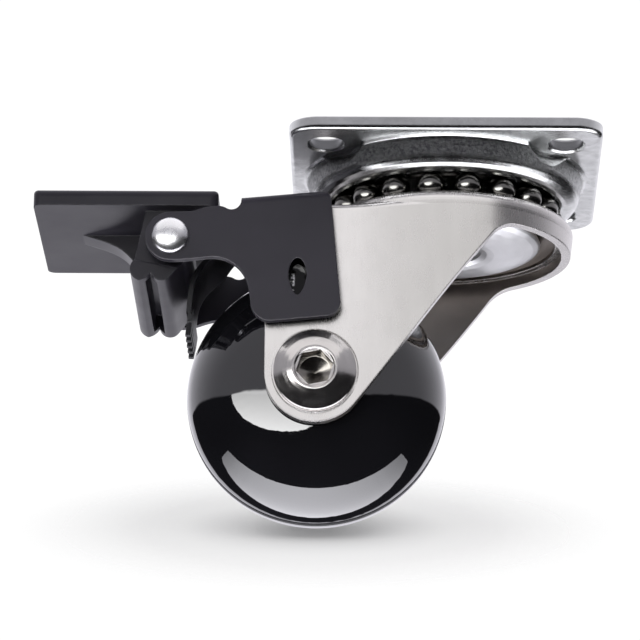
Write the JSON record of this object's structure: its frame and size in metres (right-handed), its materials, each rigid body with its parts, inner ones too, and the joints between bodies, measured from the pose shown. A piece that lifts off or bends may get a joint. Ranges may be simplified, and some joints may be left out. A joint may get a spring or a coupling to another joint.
{
  "type": "furniture castor",
  "caption": "Swivel castor with a square slotted mounting plate, double ball race, pressed fork, domed wheel and a foot pedal brake.",
  "frame": {"origin": "centre of the plate's mounting face, on the swivel axis", "axes": "+Z out of the mounting face (up in use), +X towards the fork's nose, -X towards the wheel's trail and the pedal, axle along Y with the bolt head at -Y"},
  "size_m": [0.109, 0.06, 0.0725],
  "materials": {
    "zinc_plate": "bright zinc plated pressed steel, fine speckle on the pressed wall",
    "zinc_fork": "satin nickel-toned plated pressed steel",
    "pin_steel": "turned steel",
    "cup_steel": "pressed steel, slightly oily",
    "ball_steel": "polished bearing balls with a film of grease",
    "bracket_black": "satin black coated steel",
    "rivet_bright": "bright plated rivet",
    "leaf_dark": "blackened spring steel",
    "pedal_grey": "dark grey die casting, fine satin grain",
    "bolt_zinc": "zinc plated bolt, turned head",
    "washer_plastic": "matt black polymer",
    "wheel_gloss": "high gloss black polymer",
    "wheel_core_plastic": "matt black polymer",
    "tread_gloss": "semi gloss black polymer band",
    "bush_plastic": "off-white acetal"
  },
  "bodies": {
    "plate": {"top_plate": "zinc_plate", "kingpin": "pin_steel", "lower_race_cup": "cup_steel"},
    "upper_ball_ring": {"upper_balls": "ball_steel"},
    "lower_ball_ring": {"lower_balls": "ball_steel"},
    "fork_assembly": {"fork": "zinc_fork", "brake_bracket": "bracket_black", "pivot_rivet": "rivet_bright", "leaf_rivets": "rivet_bright", "axle_bolt": "bolt_zinc", "axle_nut": "bolt_zinc", "axle_sleeve": "pin_steel", "thrust_washer_near": "washer_plastic", "thrust_washer_far": "washer_plastic"},
    "leaf": {"brake_leaf": "leaf_dark"},
    "pedal": {"pedal": "pedal_grey"},
    "wheel": {"wheel_core": "wheel_core_plastic", "wheel_shell_near": "wheel_gloss", "wheel_shell_far": "wheel_gloss", "tread_band": "tread_gloss", "hub_bush_near": "bush_plastic", "hub_bush_far": "bush_plastic"}
  },
  "joints": [
    {"name": "swivel", "type": "hinge", "parent": "plate", "child": "fork_assembly", "pos_m": [0, 0, 0], "axis": [0, 0, 1], "continuous": true},
    {"name": "upper_roll", "type": "hinge", "parent": "plate", "child": "upper_ball_ring", "pos_m": [0, 0, -0.01045], "axis": [0, 0, 1], "continuous": true},
    {"name": "lower_roll", "type": "hinge", "parent": "plate", "child": "lower_ball_ring", "pos_m": [0, 0, -0.0145], "axis": [0, 0, 1], "continuous": true},
    {"name": "wheel_spin", "type": "hinge", "parent": "fork_assembly", "child": "wheel", "pos_m": [-0.0247, 0, -0.0475], "axis": [0, 1, 0], "continuous": true},
    {"name": "pedal_press", "type": "hinge", "parent": "fork_assembly", "child": "pedal", "pos_m": [-0.0525, 0, -0.0216], "axis": [0, -1, 0], "range_deg": [0, 30]},
    {"name": "leaf_flex", "type": "hinge", "parent": "fork_assembly", "child": "leaf", "pos_m": [-0.0302, 0, -0.01423], "axis": [0, -1, 0], "range_deg": [0, 2.8]}
  ],
  "couplings": [
    {"joint": "upper_roll", "follows": "swivel", "ratio": 0.5},
    {"joint": "lower_roll", "follows": "swivel", "ratio": 0.5},
    {"joint": "leaf_flex", "follows": "pedal_press", "ratio": 0.09}
  ]
}
